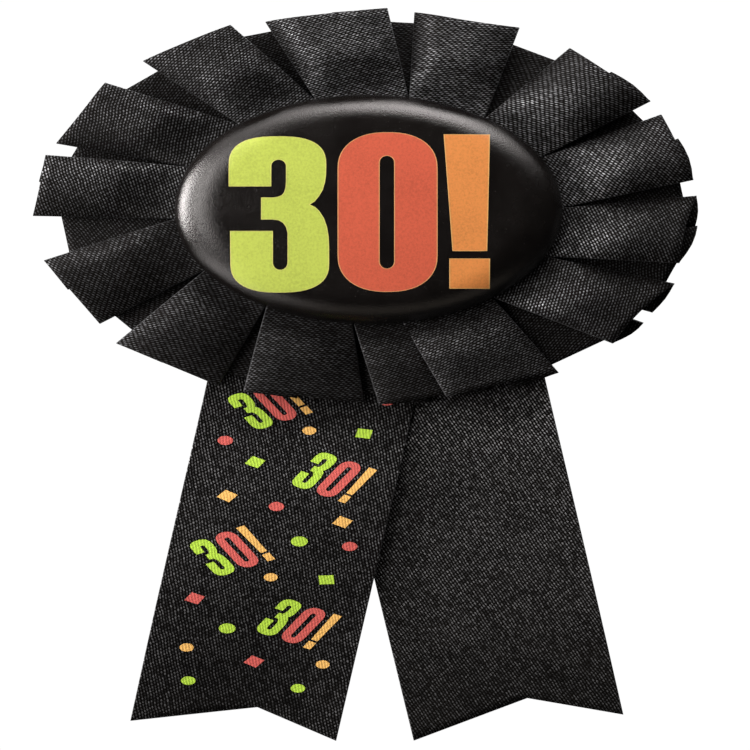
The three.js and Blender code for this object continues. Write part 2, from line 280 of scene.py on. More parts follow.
def ribbon_material(name, dark, light, ridges, gloss=0.1, sparkle=0.5, slub=0.3):
    """Black satin: dark ground, lighter thread crossings, and folds lightened by rubbed wear
    and a painted glint.

    The threads run across the weave's u, so the shine spreads along v. sparkle is how much the crossings
    differ in brightness, and slub how much the threads do in thickness. The fold attribute is 1 on a
    pressed fold or a cut edge, which rubbed wear and a painted glint lighten, and below 0 on ribbon that
    lies deep in the pleats, which painted shade darkens. The attribute that scales the threads' colour is
    painted light and shade: how much brighter (or, below 0, darker) the threads are painted where light
    falls on them (or misses them).
    """
    n = Nodes(name)
    lattice, chance, _, uv = weave(n, ridges)
    uneven = n.noise(1.5, 1.5, 0.6, uv)
    height = n.math("ADD", lattice, n.math("MULTIPLY", n.math("SUBTRACT", uneven, 0.5), 1.3))
    broad = n.noise(0.13, 2.0, 0.55, uv)
    slubs = n.noise(1.0, 2.0, 0.6, n.vector("MULTIPLY", uv, SLUB_STRETCH))
    thick = n.ramp(slubs, 0.32, 0.68, 1 - slub, 1 + 0.7 * slub)
    streak = n.math("MULTIPLY", n.ramp(broad, 0.3, 0.72, 0.72, 1.12), thick)
    fold = n.attribute("fold")
    # Painted shade: threads deep in the pleats keep only a share of their brightness.
    painted_recess_shade = n.ramp(fold, -1.0, 0.0, RECESS_SHADE_SHARE, 1.0)
    threads = n.math("MULTIPLY", n.ramp(height, 0.0, 0.95), n.math("MULTIPLY", streak, painted_recess_shade))
    # Rubbed wear and a painted glint lighten the folds and cut edges.
    fold_wear_and_glint = n.math("MULTIPLY", n.ramp(fold, 0.2, 1.0), FOLD_WEAR_AND_GLINT)
    lit = n.math("MAXIMUM", threads, fold_wear_and_glint, clamp=True)
    ground = n.mix(n.ramp(broad, 0.3, 0.75), dark, scaled_colour(dark, 1.8))
    thread = n.mix(chance, scaled_colour(light, 1 - sparkle), scaled_colour(light, 1 + 1.2 * sparkle))
    # Painted light and shade: the threads' colour is scaled up where light falls on the ribbon and down where
    # it misses it.
    shine = n.scaled(thread, n.math("ADD", n.attribute("nap"), 1.0))
    tangent = n.node("ShaderNodeTangent", direction_type="UV_MAP", uv_map="Weave").outputs[0]
    n.set(
        Base_Color=n.mix(lit, ground, shine),
        Metallic=n.math("MULTIPLY", lit, 0.7),
        Roughness=n.ramp(lit, 0.0, 1.0, 0.8, 0.45),
        Specular_IOR_Level=gloss,
        Anisotropic=0.7,
        Anisotropic_Rotation=0.25,
        Tangent=tangent,
        Sheen_Weight=0.02,
        Sheen_Roughness=0.4,
        Normal=n.bump(height, 0.25, 0.1),
    )
    return n.material


def ink_material(name, colour):
    """Ink pressed into the weave: the ribbon's threads still show through it as fine ribs."""
    n = Nodes(name)
    lattice, chance, ribs, uv = weave(n, TAIL_WEAVE)
    worn = n.math("MULTIPLY", n.math("SUBTRACT", n.noise(1.6, 4.0, 0.65, uv), 0.5), 1.4)
    rubbed = n.math("MULTIPLY", n.math("SUBTRACT", chance, 0.5), 0.5)
    cover = n.math("ADD", n.math("ADD", n.math("MULTIPLY", ribs, 0.55), worn), rubbed)
    threads = n.ramp(cover, -1.2, 0.5)
    n.set(
        Base_Color=n.mix(threads, scaled_colour(colour, 0.5), colour),
        Roughness=n.ramp(threads, 0, 1, 0.75, 0.6),
        Specular_IOR_Level=0.3,
        Normal=n.bump(lattice, 0.4, 0.08),
    )
    return n.material


FILM_COAT = 0.18  # roughness


def film_grain(n):
    """The fine orange peel of the film, which breaks up what it reflects."""
    return n.bump(n.noise(2700, 2.0, 0.65), 1.0, 0.08)


def film_material():
    """Clear satin film over black print, with a faint orange peel and a little dust."""
    n = Nodes("button_film_black")
    cloud = n.noise(120, 3.0, 0.6)
    dust = n.ramp(n.noise(2600, 1.0, 0.5), 0.74, 0.8, 0.0, 0.25)
    colour = n.mix(n.ramp(cloud, 0.3, 0.7), (0.0035, 0.0026, 0.0022), (0.006, 0.0048, 0.0042))
    grain = film_grain(n)
    n.set(
        Base_Color=n.mix(dust, colour, (0.12, 0.11, 0.105)),
        Roughness=n.ramp(cloud, 0.3, 0.7, 0.2, 0.28),
        Specular_IOR_Level=0.35,
        Coat_Weight=0.9,
        Coat_Roughness=FILM_COAT,
        Normal=grain,
        Coat_Normal=grain,
    )
    return n.material


def numeral_material(name, colour):
    """Flat print under the film, with a fine paper mottle."""
    n = Nodes(name)
    mottle = n.noise(1900, 4.0, 0.75)
    cloud = n.noise(90, 2.0, 0.5)
    cover = n.ramp(n.math("ADD", mottle, n.math("MULTIPLY", cloud, 0.3)), 0.36, 0.8)
    n.set(
        Base_Color=n.mix(cover, scaled_colour(colour, 0.74), colour),
        Roughness=n.ramp(mottle, 0.3, 0.7, 0.42, 0.55),
        Specular_IOR_Level=0.3,
        Coat_Weight=0.9,
        Coat_Roughness=FILM_COAT,
        Normal=n.bump(mottle, 0.12, 0.04),
        Coat_Normal=film_grain(n),
    )
    return n.material


def metal_material(name, colour, roughness, scratch=0.35):
    """Plated or tinned metal: fine scratches and cloudy tarnish."""
    n = Nodes(name)
    stretch = n.node("ShaderNodeMapping")
    stretch.inputs["Scale"].default_value = (0.12, 1.0, 1.0)
    n.tree.links.new(n.point(), stretch.inputs["Vector"])
    scratches = n.noise(6000, 2.0, 0.6, stretch.outputs[0])
    cloud = n.noise(180, 3.0, 0.5)
    n.set(
        Base_Color=n.mix(n.ramp(cloud, 0.35, 0.75), colour, scaled_colour(colour, 0.8)),
        Metallic=1.0,
        Roughness=n.ramp(cloud, 0.3, 0.75, roughness, roughness + 0.1),
        Normal=n.bump(scratches, scratch, 0.01),
    )
    return n.material


def card_material(name, dark, light):
    """Matt pressed card: fibres and specks."""
    n = Nodes(name)
    fibre = n.noise(2200, 5.0, 0.7)
    cloud = n.noise(70, 3.0, 0.55)
    fibres = n.math("MULTIPLY", n.ramp(fibre, 0.35, 0.75), n.ramp(cloud, 0.2, 0.8, 0.5, 1.0))
    n.set(
        Base_Color=n.mix(fibres, dark, light),
        Roughness=n.ramp(fibre, 0.3, 0.7, 0.82, 0.95),
        Specular_IOR_Level=0.25,
        Normal=n.bump(fibre, 0.35, 0.06),
    )
    return n.material


def foam_material():
    n = Nodes("adhesive_foam")
    cells = n.node("ShaderNodeTexVoronoi")
    cells.inputs["Scale"].default_value = 3500
    n.tree.links.new(n.point(), cells.inputs["Vector"])
    wall = cells.outputs["Distance"]
    n.set(
        Base_Color=n.mix(n.ramp(wall, 0.1, 0.7), (0.72, 0.7, 0.64), (0.86, 0.85, 0.8)),
        Roughness=0.9,
        Normal=n.bump(wall, 0.5, 0.05),
    )
    return n.material


def thread_material():
    n = Nodes("black_thread")
    wave = n.node("ShaderNodeTexWave", bands_direction="DIAGONAL")
    wave.inputs["Scale"].default_value = 900
    n.tree.links.new(n.point(), wave.inputs["Vector"])
    twist = wave.outputs["Fac"]
    n.set(
        Base_Color=n.mix(twist, (0.008, 0.008, 0.009), (0.035, 0.035, 0.038)),
        Roughness=0.8,
        Normal=n.bump(twist, 0.6, 0.05),
    )
    return n.material


INKS = {
    "green": (0.49, 0.77, 0.062),
    "red": (0.70, 0.125, 0.106),
    "orange": (0.98, 0.56, 0.148),
}
NUMERALS = {
    "three": (0.535, 0.645, 0.101),
    "nought": (0.65, 0.117, 0.06),
    "bang": (0.775, 0.283, 0.071),
}
rosette_satin = ribbon_material("rosette_satin", (0.0022, 0.0017, 0.0013), (0.19, 0.197, 0.207),
                                ROSETTE_WEAVE)
TAIL_SATINS = {
    "printed": ribbon_material("printed_tail_satin", (0.0014, 0.0011, 0.0009), (0.150, 0.153, 0.157),
                               TAIL_WEAVE, gloss=0.06, sparkle=0.75, slub=0.35),
    "plain": ribbon_material("plain_tail_satin", (0.0022, 0.0018, 0.0014), (0.205, 0.21, 0.215),
                             TAIL_WEAVE, gloss=0.07, sparkle=0.7, slub=0.3),
}

# ---------------------------------------------------------------- rosette
class Pleat(NamedTuple):
    """One box pleat, with angles in degrees clockwise from the top and lengths in millimetres."""

    start: float  # the front panel's two outer corners, each with its radius
    start_r: float
    end: float
    end_r: float
    inner_end: float  # the fold that it shares with the next panel at the button's edge
    dip: float  # how far its outer edge dips
    ply_a: float  # where the two folded-back plies end behind it: degrees from its middle, and radius
    ply_a_r: float
    ply_b: float
    ply_b_r: float
    recess_a_r: float  # radius of the recessed ribbon on either side of the gap that follows
    recess_b_r: float
    lean: float  # the side that the arch leans to, and how high it stands
    height: float


# Clockwise from the ribbon's first end, which lies under the last pleat.
PLEATS = [Pleat(*row) for row in (
    (157.0, 43.4, 178.0, 43.8, 184.5, 0.0, -1.2, 43.2, 1.2, 44.0, 41.6, 41.6, 0.35, 0.5),
    (181.0, 43.3, 202.0, 44.1, 212.0, 0.2, -1.2, 43.1, 1.2, 43.4, 41.4, 41.4, 0.25, 0.6),
    (207.0, 44.3, 228.0, 45.0, 238.0, 0.05, -1.2, 43.3, 1.2, 44.0, 41.8, 41.4, 0.25, 0.9),
    (234.6, 44.0, 255.0, 44.6, 265.5, 0.1, -1.2, 43.3, 1.2, 43.9, 41.4, 41.2, 0.3, 1.3),
    (268.5, 44.7, 285.8, 44.6, 292.0, 0.2, -1.2, 43.6, 1.2, 44.4, 41.6, 41.4, 0.35, 1.7),
    (290.0, 44.2, 309.0, 45.1, 318.0, 0.2, -1.2, 43.6, 1.2, 44.2, 42.6, 42.2, 0.3, 1.6),
    (318.3, 45.0, 336.0, 45.3, 344.0, 0.1, -1.2, 44.2, 1.2, 44.9, 42.8, 42.4, 0.0, 1.7),
    (342.2, 44.5, 363.0, 45.3, 372.0, 0.1, -1.2, 43.8, 1.2, 44.8, 42.7, 42.7, -0.35, 1.8),
    (368.0, 44.9, 386.0, 45.5, 397.0, 0.5, -1.2, 44.0, 1.2, 44.2, 42.3, 42.1, -0.4, 1.9),
    (396.5, 45.2, 416.8, 44.7, 423.0, 0.2, -1.9, 43.7, -0.5, 44.9, 41.9, 41.9, 0.0, 2.0),
    (421.3, 44.5, 441.0, 43.7, 449.0, 0.0, -3.6, 43.2, -2.4, 44.3, 42.1, 42.2, 0.15, 1.7),
    (446.0, 43.8, 466.0, 43.0, 474.0, 0.5, -1.4, 43.7, -1.3, 44.0, 42.9, 43.0, 0.2, 1.7),
    (472.3, 44.0, 492.6, 44.2, 500.0, 0.7, -1.15, 44.3, 2.3, 44.6, 43.3, 42.7, 0.25, 1.8),
    (505.5, 44.5, 526.0, 43.3, 530.0, 0.3, -1.2, 44.7, 1.2, 43.6, 41.6, 41.6, 0.25, 0.8),
)]
# Painted light and shade on each pleat at its two folds: how much brighter or darker its threads are painted.
PAINTED_LIGHT_LEVELS = [
    (-0.60, -0.60), (-0.50, -0.50), (-0.42, -0.42), (-0.45, -0.55), (-0.45, 0.28),
    (-0.50, -0.08), (0.02, 0.02), (0.28, 0.62), (0.05, 1.00), (-0.15, 0.60),
    (0.05, 0.80), (-0.30, 0.35), (-0.50, 0.00), (-0.30, -0.30),
]
# How much more painted light each pleat has near the button than at the outer edge.
PAINTED_LIGHT_FALLOFFS = [0.0, 0.0, 0.0, 0.0, 0.2, 0.3, 0.6, 0.7, 0.9, 0.7, 0.9, 0.7, 0.3, 0.0]
# How light each pleat's folds are: rubbed wear and a painted glint, strongest on the lower pleats.
RUBBED_AND_GLINT = [0.9, 1.0, 1.0, 0.9, 0.55, 0.5, 0.5, 0.5, 0.5, 0.45, 0.45, 0.45, 0.6, 0.7]
FIRST_FOLD = 158.0
FOLD_GAP = 0.35  # degrees between a fold at the button's edge and the angle it shares with the next
PLEAT_INNER = 22.7
BUTTON_EDGE = 25.8
PLEAT_OUTER = 44.5
ROWS = 17
ROW_SPACING = 0.93
TILT = 2.7  # each panel's clockwise side stands this much higher, over the next panel
ARCH = 2.1
FIRST_LOWER = (0.7, 0.6)  # the first panel's clockwise side, and the ply behind it, stand this much lower
LAST_HIGHER = 1.1  # the last panel's clockwise side stands this much higher, over the ribbon's first end
ROUNDED = range(9, 13)  # the pleats whose folded-back plies were cut round
ROUND_LEFT, ROUND_RIGHT = 0.3, 0.5
# depth of each layer of the fold, under the button and at the outer edge
PLY = {"back": (4.1, 3.4), "middle": (5.4, 4.2), "side": (6.8, 5.0)}
FOLD_WIDTH = 1 / 150  # how far a fold's turn stands out past the panel, as a share of its width
TURN_WEAR_AND_GLINT = 0.9  # how light the turn is, by rubbed wear and a painted glint, as a share of the panel's own edge
DEEP = -1.0  # the fold attribute deep in the pleats, where the threads get painted shade


def rail(inner_angle, outer, rows):
    """A fold line from under the button, past its edge, straight to its outer end."""
    hidden = polar(inner_angle, PLEAT_INNER)
    rim = polar(inner_angle, BUTTON_EDGE)
    turn = (BUTTON_EDGE - PLEAT_INNER) / (PLEAT_OUTER - PLEAT_INNER)
    first = rows[:, None] / turn
    second = (rows[:, None] - turn) / (1 - turn)
    return np.where(rows[:, None] < turn, hidden + (rim - hidden) * first, rim + (outer - rim) * second)


# columns across a front panel, from -1 to 1, with a narrow one at each fold so that it stays crisp
PANEL_COLUMNS = [-1.0, *(math.copysign(abs(s) ** 0.88 * 0.985, s) for s in np.linspace(-1, 1, 19)), 1.0]


def column(place_xy, depth, axis, origin, fold=0.0, nap=0.0):
    """One column of the ribbon: its points, its depths, the weave's coordinates, its fold and its painted
    light.
    """
    side = np.array([axis[1], -axis[0]])
    from_origin = place_xy - origin
    weave_at = np.stack([from_origin @ side, from_origin @ axis], axis=-1)
    whole = np.ones(ROWS)
    return place_xy, depth * whole, weave_at, fold * whole, nap * whole


def rise(rows):
    """How far the arch has opened, from the button's pressure to the outer edge."""
    return smooth(rows, 0.19, 0.6) * (1 - 0.25 * smooth(rows, 0.55, 1.0))


def ply(layer, rows):
    inner, outer = PLY[layer]
    return inner + (outer - inner) * rows


def bulge(share, rows, axis, size):
    """The round cut of a folded-back ply's end."""
    return axis * (size * math.sin(math.pi * share) * rows**4)[:, None]


def ripples(s, rows, wave):
    """The unevenness of a panel's arch, none at its folds."""
    ripple = 0.10 * np.sin(rows * 5.5 + wave[0] + 1.6 * s * wave[1]) * (1 - s * s)
    ripple += 0.06 * np.sin(rows * 11 + wave[2] + 3 * s) * (1 - s * s)
    return ripple * smooth(rows, 0.15, 0.4)


def recess_columns(before, pleat, inner_angle, start, end, rows):
    """The recessed ply from the end of the pleat before to the ply folded under this one."""
    back = ply("back", rows)
    axis = polar((before.end + pleat.start) / 2, 1.0)
    deep = partial(column, axis=axis, origin=polar(inner_angle, 20), fold=DEEP)
    first = rail(inner_angle - 1.5, polar(before.end - 2.0, before.recess_a_r), rows)
    second = rail(inner_angle + 1.5, polar(pleat.start + 2.0, before.recess_b_r), rows)
    columns = [deep(start + (first - start) * share, back) for share in (0.06, 0.5, 1.0)]
    for share in (0.2, 0.4, 0.6, 0.8, 1.0):
        sag = 0.35 * math.sin(math.pi * share) * rows
        columns.append(deep(first + (second - first) * share, back - sag))
    return columns + [deep(second + (end - second) * share, back) for share in (0.5, 0.94)]


def build_rosette():
    rows = np.linspace(0, 1, ROWS) ** ROW_SPACING
    opening = rise(rows)
    back, middle, side = (ply(layer, rows) for layer in ("back", "middle", "side"))
    columns = []
    inner_left = FIRST_FOLD
    hidden_end = None
    last = len(PLEATS) - 1
    for index, pleat in enumerate(PLEATS):
        # painted light and shade for this pleat, brighter near the button
        nap_left, nap_right = PAINTED_LIGHT_LEVELS[index]
        # rubbed wear and a painted glint on this pleat's folds
        rubbed = RUBBED_AND_GLINT[index]
        painted_falloff = PAINTED_LIGHT_FALLOFFS[index] * (0.4 - smooth(rows, 0.2, 0.95))
        middle_angle = (pleat.start + pleat.end) / 2
        inner_middle = (inner_left + pleat.inner_end) / 2
        across = math.radians(middle_angle)
        height = ARCH * pleat.height * math.hypot(OVAL * math.cos(across), math.sin(across))
        left = rail(inner_left + FOLD_GAP, polar(pleat.start, pleat.start_r), rows)
        right = rail(pleat.inner_end - FOLD_GAP, polar(pleat.end, pleat.end_r), rows)
        hidden_left = rail(inner_middle - 1.2, polar(middle_angle + pleat.ply_a, pleat.ply_a_r), rows)
        hidden_right = rail(inner_middle + 1.2, polar(middle_angle + pleat.ply_b, pleat.ply_b_r), rows)
        origin = (left[0] + right[0]) / 2
        axis = (left[-1] + right[-1]) / 2 - origin
        axis = axis / np.linalg.norm(axis)
        on_panel = partial(column, axis=axis, origin=origin)
        round_left, round_right = (ROUND_LEFT, ROUND_RIGHT) if index in ROUNDED else (0.0, 0.0)
        side_left = side - 0.15 * opening
        side_right = side + TILT * opening
        middle_right = middle + 0.8 * TILT * opening
        if index == 0:
            side_right = side_right - FIRST_LOWER[0] * opening
            middle_right = middle_right - FIRST_LOWER[1] * opening
        if index == last:
            side_right = side_right + LAST_HIGHER * opening
            middle_right = middle_right + LAST_HIGHER * opening

        if index > 0:
            columns += recess_columns(PLEATS[index - 1], pleat, inner_left, hidden_end, hidden_left, rows)
            columns.append(on_panel(hidden_left, (back + middle) / 2, fold=DEEP))
            for share in (0.06, 0.25, 0.5, 0.75, 0.95):
                at = hidden_left + (left - hidden_left) * share + bulge(share, rows, axis, round_left)
                columns.append(on_panel(at, middle, fold=DEEP))
            at = left + FOLD_WIDTH * (left - right)
            level = (middle + side_left) / 2
            columns.append(on_panel(at, level, fold=TURN_WEAR_AND_GLINT * rubbed, nap=nap_left + painted_falloff))

        wave = rng.normal(0, 1, 4)
        for s in PANEL_COLUMNS:
            share = (s + 1) / 2
            at = left + (right - left) * share
            at = at - axis * (pleat.dip * (1 - s * s) * rows**4)[:, None]
            off = (s - pleat.lean) / ((1 - pleat.lean) if s > pleat.lean else (1 + pleat.lean))
            arch = (1 - abs(off) ** 2.3) * height * opening
            level = side_left + (side_right - side_left) * share
            edge = rubbed if abs(s) == 1 else 0.0
            nap = nap_left + (nap_right - nap_left) * share + painted_falloff
            columns.append(on_panel(at, level + arch + ripples(s, rows, wave), fold=edge, nap=nap))

        at = right + FOLD_WIDTH * (right - left)
        level = (middle_right + side_right) / 2
        columns.append(on_panel(at, level, fold=TURN_WEAR_AND_GLINT * rubbed, nap=nap_right + painted_falloff))
        for share in (0.05, 0.25, 0.5, 0.75, 0.94):
            at = right + (hidden_right - right) * share + bulge(share, rows, axis, round_right)
            columns.append(on_panel(at, middle_right + (middle - middle_right) * share, fold=DEEP))
        if index < last:
            columns.append(on_panel(hidden_right, (back + middle) / 2, fold=DEEP))
        hidden_end = hidden_right
        inner_left = pleat.inner_end

    xy, depth, uv, fold, nap = (np.stack(part, axis=1) for part in zip(*columns))
    points = place(xy[..., 0], xy[..., 1], depth).reshape(-1, 3)
    ribbon = make_mesh("rosette_pleats", points, grid_faces(ROWS, len(columns)), rosette_satin,
                       uv.reshape(-1, 2), {"fold": fold.ravel(), "nap": nap.ravel()})
    return thicken(ribbon, 0.2)


rosette = build_rosette()
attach(rosette, "badge")
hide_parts("rosette_ribbon")

# ---------------------------------------------------------------- button
RIM_START = 19.5  # where the face turns over into the rim
FACE_DROP = 1.2  # how much lower the face is at the rim than in its middle
LIP = 1.4  # how far the cover turns in behind the button
BUTTON_SIDES = 160
BUTTON_RINGS = 56


def dome(radius):
    """Depth of the button's front at a distance from its centre: a nearly flat face, then a round rim."""
    radius = np.minimum(np.asarray(radius, float), BUTTON_R)
    over = np.maximum(0, radius - RIM_START) / (BUTTON_R - RIM_START)
    rim = (BUTTON_TOP - BUTTON_BASE - FACE_DROP) * np.sqrt(1 - over**2)
    return BUTTON_BASE + rim + FACE_DROP * (1 - (radius / BUTTON_R) ** 2)


def build_button():
    shares = np.sin(np.linspace(0.04, 1, BUTTON_RINGS) * math.pi / 2)
    profile = [(BUTTON_R * s, float(dome(BUTTON_R * s))) for s in shares]
    profile += [(BUTTON_R - 0.15, BUTTON_BASE - 0.3), (BUTTON_R - LIP, BUTTON_BASE - 0.35)]
    angles = np.linspace(0, 2 * math.pi, BUTTON_SIDES, endpoint=False)
    rings = [place(r * np.cos(angles), r * np.sin(angles), z) for r, z in profile]
    points = [place(0, 0, dome(0)), *np.concatenate(rings)]
    faces = [(0, 1 + i, 1 + (i + 1) % BUTTON_SIDES) for i in range(BUTTON_SIDES)]
    for a, b, c, d in grid_faces(len(rings), BUTTON_SIDES, closed=True):
        faces.append((a + 1, d + 1, c + 1, b + 1))
    return make_mesh("button_cover", points, faces, film_material())


button = build_button()
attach(button, "badge")
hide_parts("button_film", "button_artwork")


# ---------------------------------------------------------------- numerals
def arc(cx, cy, rx, ry, start, end, steps=10, power=2.0):
    """Points on an ellipse, squarer for a higher power, angles in degrees anticlockwise from the right."""
    points = []
    for a in np.radians(np.linspace(start, end, steps)):
        c, s = math.cos(a), math.sin(a)
        x = math.copysign(abs(c) ** (2 / power), c)
        y = math.copysign(abs(s) ** (2 / power), s)
        points.append((cx + rx * x, cy + ry * y))
    return points


def sized(points, width, height):
    return [(x * width, y * height) for x, y in points]


def three(width, height, slot=0.0725):
    """A heavy condensed 3 as one outline, anticlockwise from the lower left terminal.

    slot is half the width of its two counters.
    """
    upper, lower = 0.4965, 0.5125
    out = [(0.014, 0.394)]
    out += arc(0.507, 0.185, 0.491, 0.185, 180, 360, 24, 2.5)
    out += [(0.998, 0.291), (0.993, 0.36), (0.977, 0.42), (0.947, 0.475), (0.9, 0.522), (0.86, 0.546)]
    out += [(0.806, 0.563), (0.855, 0.582), (0.897, 0.615), (0.934, 0.655), (0.957, 0.703), (0.968, 0.755)]
    out += arc(0.485, 0.81, 0.485, 0.19, 0, 180, 24, 2.7)
    out += [(0.0, 0.679), (upper - slot, 0.679)]
    out += arc(upper, 0.81, slot, 0.04, 180, 0, 10)
    out += [(upper + slot, 0.71), (0.565, 0.672), (0.551, 0.642), (0.525, 0.622), (0.487, 0.612)]
    out += [(0.44, 0.608)]
    out += [(0.322, 0.608), (0.322, 0.467), (0.44, 0.467), (0.497, 0.462), (0.54, 0.446), (0.57, 0.418)]
    out += [(lower + slot, 0.38)]
    out += arc(lower, 0.19, slot, 0.045, 0, -180, 10)
    out += [(lower - slot, 0.394)]
    return [sized(out, width, height)]


def nought(width, height, slot=0.0725):
    """A heavy condensed 0: outer and inner outlines."""
    outer = arc(0.5, 0.23, 0.5, 0.23, 180, 360, 26, 2.3) + arc(0.5, 0.77, 0.5, 0.23, 0, 180, 26, 2.3)
    inner = arc(0.493, 0.19, slot, 0.044, 180, 360, 12) + arc(0.493, 0.81, slot, 0.042, 0, 180, 12)
    return [sized(outer, width, height), sized(inner[::-1], width, height)]


def bang(width, height):
    """An exclamation mark: a wedge and a square dot."""
    wedge = [(0.19, 0.243), (0.94, 0.243), (1.0, 1.0), (0.0, 1.0)]
    dot = [(0.123, 0.0), (1.0, 0.0), (1.0, 0.195), (0.123, 0.195)]
    return [sized(wedge, width, height)], [sized(dot, width, height)]


def cut_fine(points, faces, size):
    """Splits triangles until no edge is longer than size."""
    points = [np.asarray(p, float) for p in points]
    work = [tuple(f) for f in faces]
    done = []
    middle = {}

    def between(a, b):
        key = (min(a, b), max(a, b))
        if key not in middle:
            middle[key] = len(points)
            points.append((points[a] + points[b]) / 2)
        return middle[key]

    while work:
        a, b, c = work.pop()
        lengths = [np.linalg.norm(points[a] - points[b]), np.linalg.norm(points[b] - points[c]),
                   np.linalg.norm(points[c] - points[a])]
        if max(lengths) <= size:
            done.append((a, b, c))
            continue
        k = int(np.argmax(lengths))
        a, b, c = [(a, b, c), (b, c, a), (c, a, b)][k]
        m = between(a, b)
        work += [(a, m, c), (m, b, c)]
    return np.array(points), done


def fill(loops, size):
    """Triangles inside an outline and its holes, cut fine enough to follow a curved face."""
    flat = [p for loop in loops for p in loop]
    faces = tessellate_polygon([[Vector((x, y, 0)) for x, y in loop] for loop in loops])
    return cut_fine([(x, y) for x, y in flat], faces, size)


def decal(name, shapes, surface, material, weave_at=None, size=1.2):
    """Print that lies on a surface: shapes are lists of loops, surface(x, y) gives the depth there."""
    all_points, all_faces, all_uvs, all_flat = [], [], [], []
    for loops in shapes:
        points, faces = fill(loops, size)
        start = len(all_points)
        all_flat += list(points)
        for x, y in points:
            all_points.append(place(x, y, surface(x, y)))
            if weave_at is not None:
                all_uvs.append(weave_at(x, y))
        for f in faces:
            a, b, c = (points[i] for i in f)
            up = (b[0] - a[0]) * (c[1] - a[1]) - (b[1] - a[1]) * (c[0] - a[0])
            order = f if up > 0 else f[::-1]
            all_faces.append(tuple(start + i for i in order))
    print_piece = make_mesh(name, all_points, all_faces, material, all_uvs if weave_at else None)
    normals = [surface_normal(surface, x, y) for x, y in all_flat]
    print_piece.data.normals_split_custom_set_from_vertices(normals)
    return print_piece


FLAT_PRINT = 0.4


def surface_normal(surface, x, y, step=0.05):
    """The direction that a surface faces, so that print on it shades as the surface does.

    Thick ink is a little flatter than what it lies on, by the share FLAT_PRINT of the face's direction.
    """
    east = place(x + step, y, surface(x + step, y)) - place(x - step, y, surface(x - step, y))
    north = place(x, y + step, surface(x, y + step)) - place(x, y - step, surface(x, y - step))
    normal = np.cross(east, north)
    normal = normal / np.linalg.norm(normal) + FLAT_PRINT * np.array([0.0, -1.0, 0.0])
    return normal / np.linalg.norm(normal)


def moved(loops, dx, dy, turn=0.0, scale=1.0):
    c, s = math.cos(math.radians(turn)), math.sin(math.radians(turn))
    return [[(dx + scale * (x * c - y * s), dy + scale * (x * s + y * c)) for x, y in loop] for loop in loops]


def on_button(x, y):
    return float(dome(math.hypot(x, y))) + 0.05


def keyline(loops, width):
    """A narrow paler strip just inside each outline."""
    strips = []
    for loop in loops:
        points = []
        for (x0, y0), (x1, y1) in zip(loop, loop[1:] + loop[:1]):
            pieces = max(1, int(math.hypot(x1 - x0, y1 - y0) / 0.7))
            points += [(x0 + (x1 - x0) * k / pieces, y0 + (y1 - y0) * k / pieces) for k in range(pieces)]
        points = [p for k, p in enumerate(points) if math.dist(p, points[k - 1]) > 0.02]
        inner = []
        for k, (x, y) in enumerate(points):
            before, after = np.array(points[k - 1]), np.array(points[(k + 1) % len(points)])
            here = np.array((x, y))
            first = (here - before) / np.linalg.norm(here - before)
            second = (after - here) / np.linalg.norm(after - here)
            normal = np.array([-(first + second)[1], (first + second)[0]])
            sharpness = max(0.55, math.sqrt((1 + first @ second) / 2))
            normal = normal / max(0.6, np.linalg.norm(normal)) / sharpness
            inner.append(tuple(here + normal * width))
        for k in range(len(points)):
            m = (k + 1) % len(points)
            strips.append([[points[k], points[m], inner[m], inner[k]]])
    return strips


BUTTON_PRINT = {
    "three": [moved(three(13.29, 34.85), -18.45, -18.76)],
    "nought": [moved(nought(13.19, 35.62), -4.07, -18.62)],
    "bang": [moved(loops, 9.92, -17.88) for loops in bang(6.12, 34.42)],
}
EDGE_TINT = (0.95, 0.78, 0.30)
KEYLINE = 0.11
for name, shapes in BUTTON_PRINT.items():
    colour = NUMERALS[name]
    ink = numeral_material(f"numeral_{name}", colour)
    numeral = decal(f"numeral_{name}", shapes, on_button, ink, size=0.8)
    pale = tuple(min(1.0, 0.55 * c + 0.45 * k) for c, k in zip(colour, EDGE_TINT))
    strips = [strip for loops in shapes for strip in keyline(loops, KEYLINE)]
    edge = decal(f"keyline_{name}", strips, lambda x, y: on_button(x, y) + 0.02,
                 numeral_material(f"keyline_{name}", pale))
    for piece in (numeral, edge):
        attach(piece, "badge")

# ---------------------------------------------------------------- tails
# Outline of each tail on the face, stretched as it is: its two long edges from under the pleats to
# their ends, and the notch between.
TAILS = {
    "printed": {
        "left": ((-29.5, -8.0), (-53.7, -115.1)),
        "right": ((18.7, -8.0), (-7.3, -119.6)),
        "notch": (-25.05, -112.0),
        "joint": "front_tail_swing",
        "body": "front_tail",
        "nodes": ("printed_tail_top", "printed_tail"),
    },
    "plain": {
        "left": ((-17.0, -8.0), (10.2, -119.7)),
        "right": ((32.85, -8.0), (57.6, -113.9)),
        "notch": (35.85, -110.1),
        "joint": "rear_tail_swing",
        "body": "rear_tail",
        "nodes": ("plain_tail_top", "plain_tail"),
    },
}
TAIL_ROWS = 64
TAIL_COLUMNS = 33
TAIL_TOP = 46  # how far below the button's centre the tails come out from under the pleats
TAIL_DROP = 74  # how far they hang below that
SELVEDGE = 0.006  # its share of the ribbon's width


